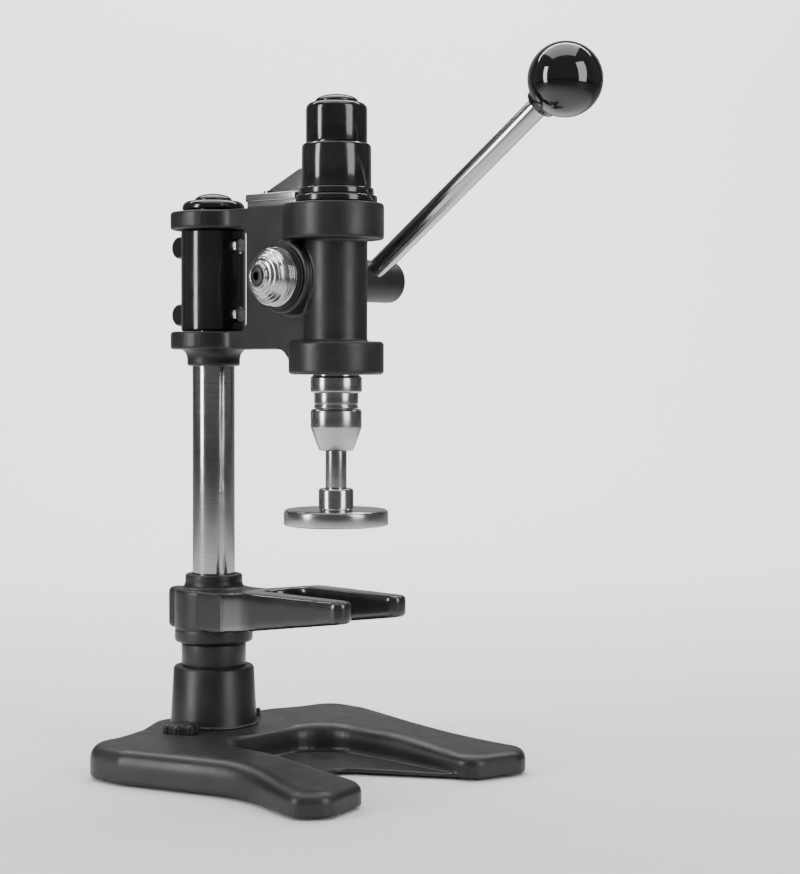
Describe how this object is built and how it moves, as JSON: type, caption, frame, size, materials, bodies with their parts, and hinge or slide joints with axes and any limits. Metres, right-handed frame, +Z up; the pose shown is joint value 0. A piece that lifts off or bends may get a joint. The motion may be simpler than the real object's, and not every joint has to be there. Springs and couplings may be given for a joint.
{
  "type": "tabletop tamping press",
  "caption": "Lever-operated tamping press: horseshoe base, round column, two-pronged holder fork, and a head whose rack-driven quill presses a flat round tamper.",
  "frame": {"origin": "on the bench, under the middle of the round column, at the underside of the centre foot", "axes": "+Z up along the column; +X forward from the column to the quill and the legs' tips; +Y to the side that carries the lever"},
  "size_m": [0.279, 0.199, 0.4001],
  "materials": {
    "cast_black": "satin",
    "gloss_black": "gloss",
    "polished_steel": "polished",
    "turned_steel": "turned",
    "dark_steel": "satin",
    "bronze": "satin",
    "rubber": "matte"
  },
  "bodies": {
    "stand": {"base_casting": "cast_black", "rubber_feet": "rubber", "column_socket": "cast_black", "neck_collar": "cast_black", "column": "polished_steel", "column_lock_screw": "dark_steel", "column_cap": "gloss_black", "cap_button": "gloss_black", "locating_stud": "dark_steel"},
    "base_knob": {"base_knob": "cast_black", "knob_stud": "turned_steel"},
    "fork": {"fork_casting": "cast_black", "fork_coat": "gloss_black", "fork_clamp_screw": "dark_steel"},
    "sleeve": {"clamp_sleeve": "gloss_black", "sleeve_rear_screws": "dark_steel", "sleeve_lock_screws": "turned_steel"},
    "head": {"head_casting": "cast_black", "quill_bush_lower": "bronze", "quill_bush_upper": "bronze", "pinion_bush_near": "bronze", "pinion_bush_far": "bronze", "boss_cover": "gloss_black", "lock_ring_lower": "gloss_black", "lock_ring_upper": "gloss_black", "spring_case": "gloss_black", "return_spring": "dark_steel", "bracket_base": "polished_steel", "bracket_plate": "polished_steel", "bracket_gusset": "polished_steel", "bracket_screw": "polished_steel"},
    "adjusting_cap": {"adjusting_cap": "gloss_black", "adjusting_cap_button": "gloss_black"},
    "quill": {"quill": "polished_steel", "quill_nut": "turned_steel", "chuck_ring": "turned_steel", "chuck_neck": "turned_steel", "collet": "dark_steel", "tamper_shank": "polished_steel", "tamper_base": "turned_steel"},
    "collet_nut": {"collet_nut": "turned_steel"},
    "lever": {"pinion_shaft": "turned_steel", "pinion_gear": "dark_steel", "shaft_rings": "rubber", "turned_hub": "turned_steel", "hub_screw": "turned_steel", "lever_hub": "cast_black", "hub_grub_screw": "dark_steel", "lever_rod": "polished_steel", "ball_knob": "gloss_black"}
  },
  "joints": [
    {"name": "base_knob_turn", "type": "hinge", "parent": "stand", "child": "base_knob", "pos_m": [0.013, -0.0366, 0.0185], "axis": [0, 0, 1], "continuous": true},
    {"name": "fork_slide", "type": "slide", "parent": "stand", "child": "fork", "axis": [0, 0, 1], "range_m": [0, 0.012]},
    {"name": "head_height", "type": "slide", "parent": "stand", "child": "sleeve", "axis": [0, 0, 1], "range_m": [-0.034, 0]},
    {"name": "head_swivel", "type": "hinge", "parent": "sleeve", "child": "head", "pos_m": [0, 0, 0.279], "axis": [0, 0, 1], "range_deg": [-90, 90]},
    {"name": "cap_turn", "type": "hinge", "parent": "head", "child": "adjusting_cap", "pos_m": [0.1016, 0, 0.3635], "axis": [0, 0, 1], "continuous": true},
    {"name": "lever_turn", "type": "hinge", "parent": "head", "child": "lever", "pos_m": [0.08, 0, 0.2783], "axis": [0, 1, 0], "range_deg": [0, 95]},
    {"name": "quill_slide", "type": "slide", "parent": "head", "child": "quill", "axis": [0, 0, -1], "range_m": [0, 0.0224], "stiffness_N_per_m": 1500, "springref_m": -0.03, "deforming": ["return_spring"]},
    {"name": "collet_nut_turn", "type": "hinge", "parent": "quill", "child": "collet_nut", "pos_m": [0.1016, 0, 0.194], "axis": [0, 0, 1], "continuous": true}
  ],
  "couplings": [
    {"joint": "quill_slide", "follows": "lever_turn", "m_per_rad": 0.0135}
  ]
}
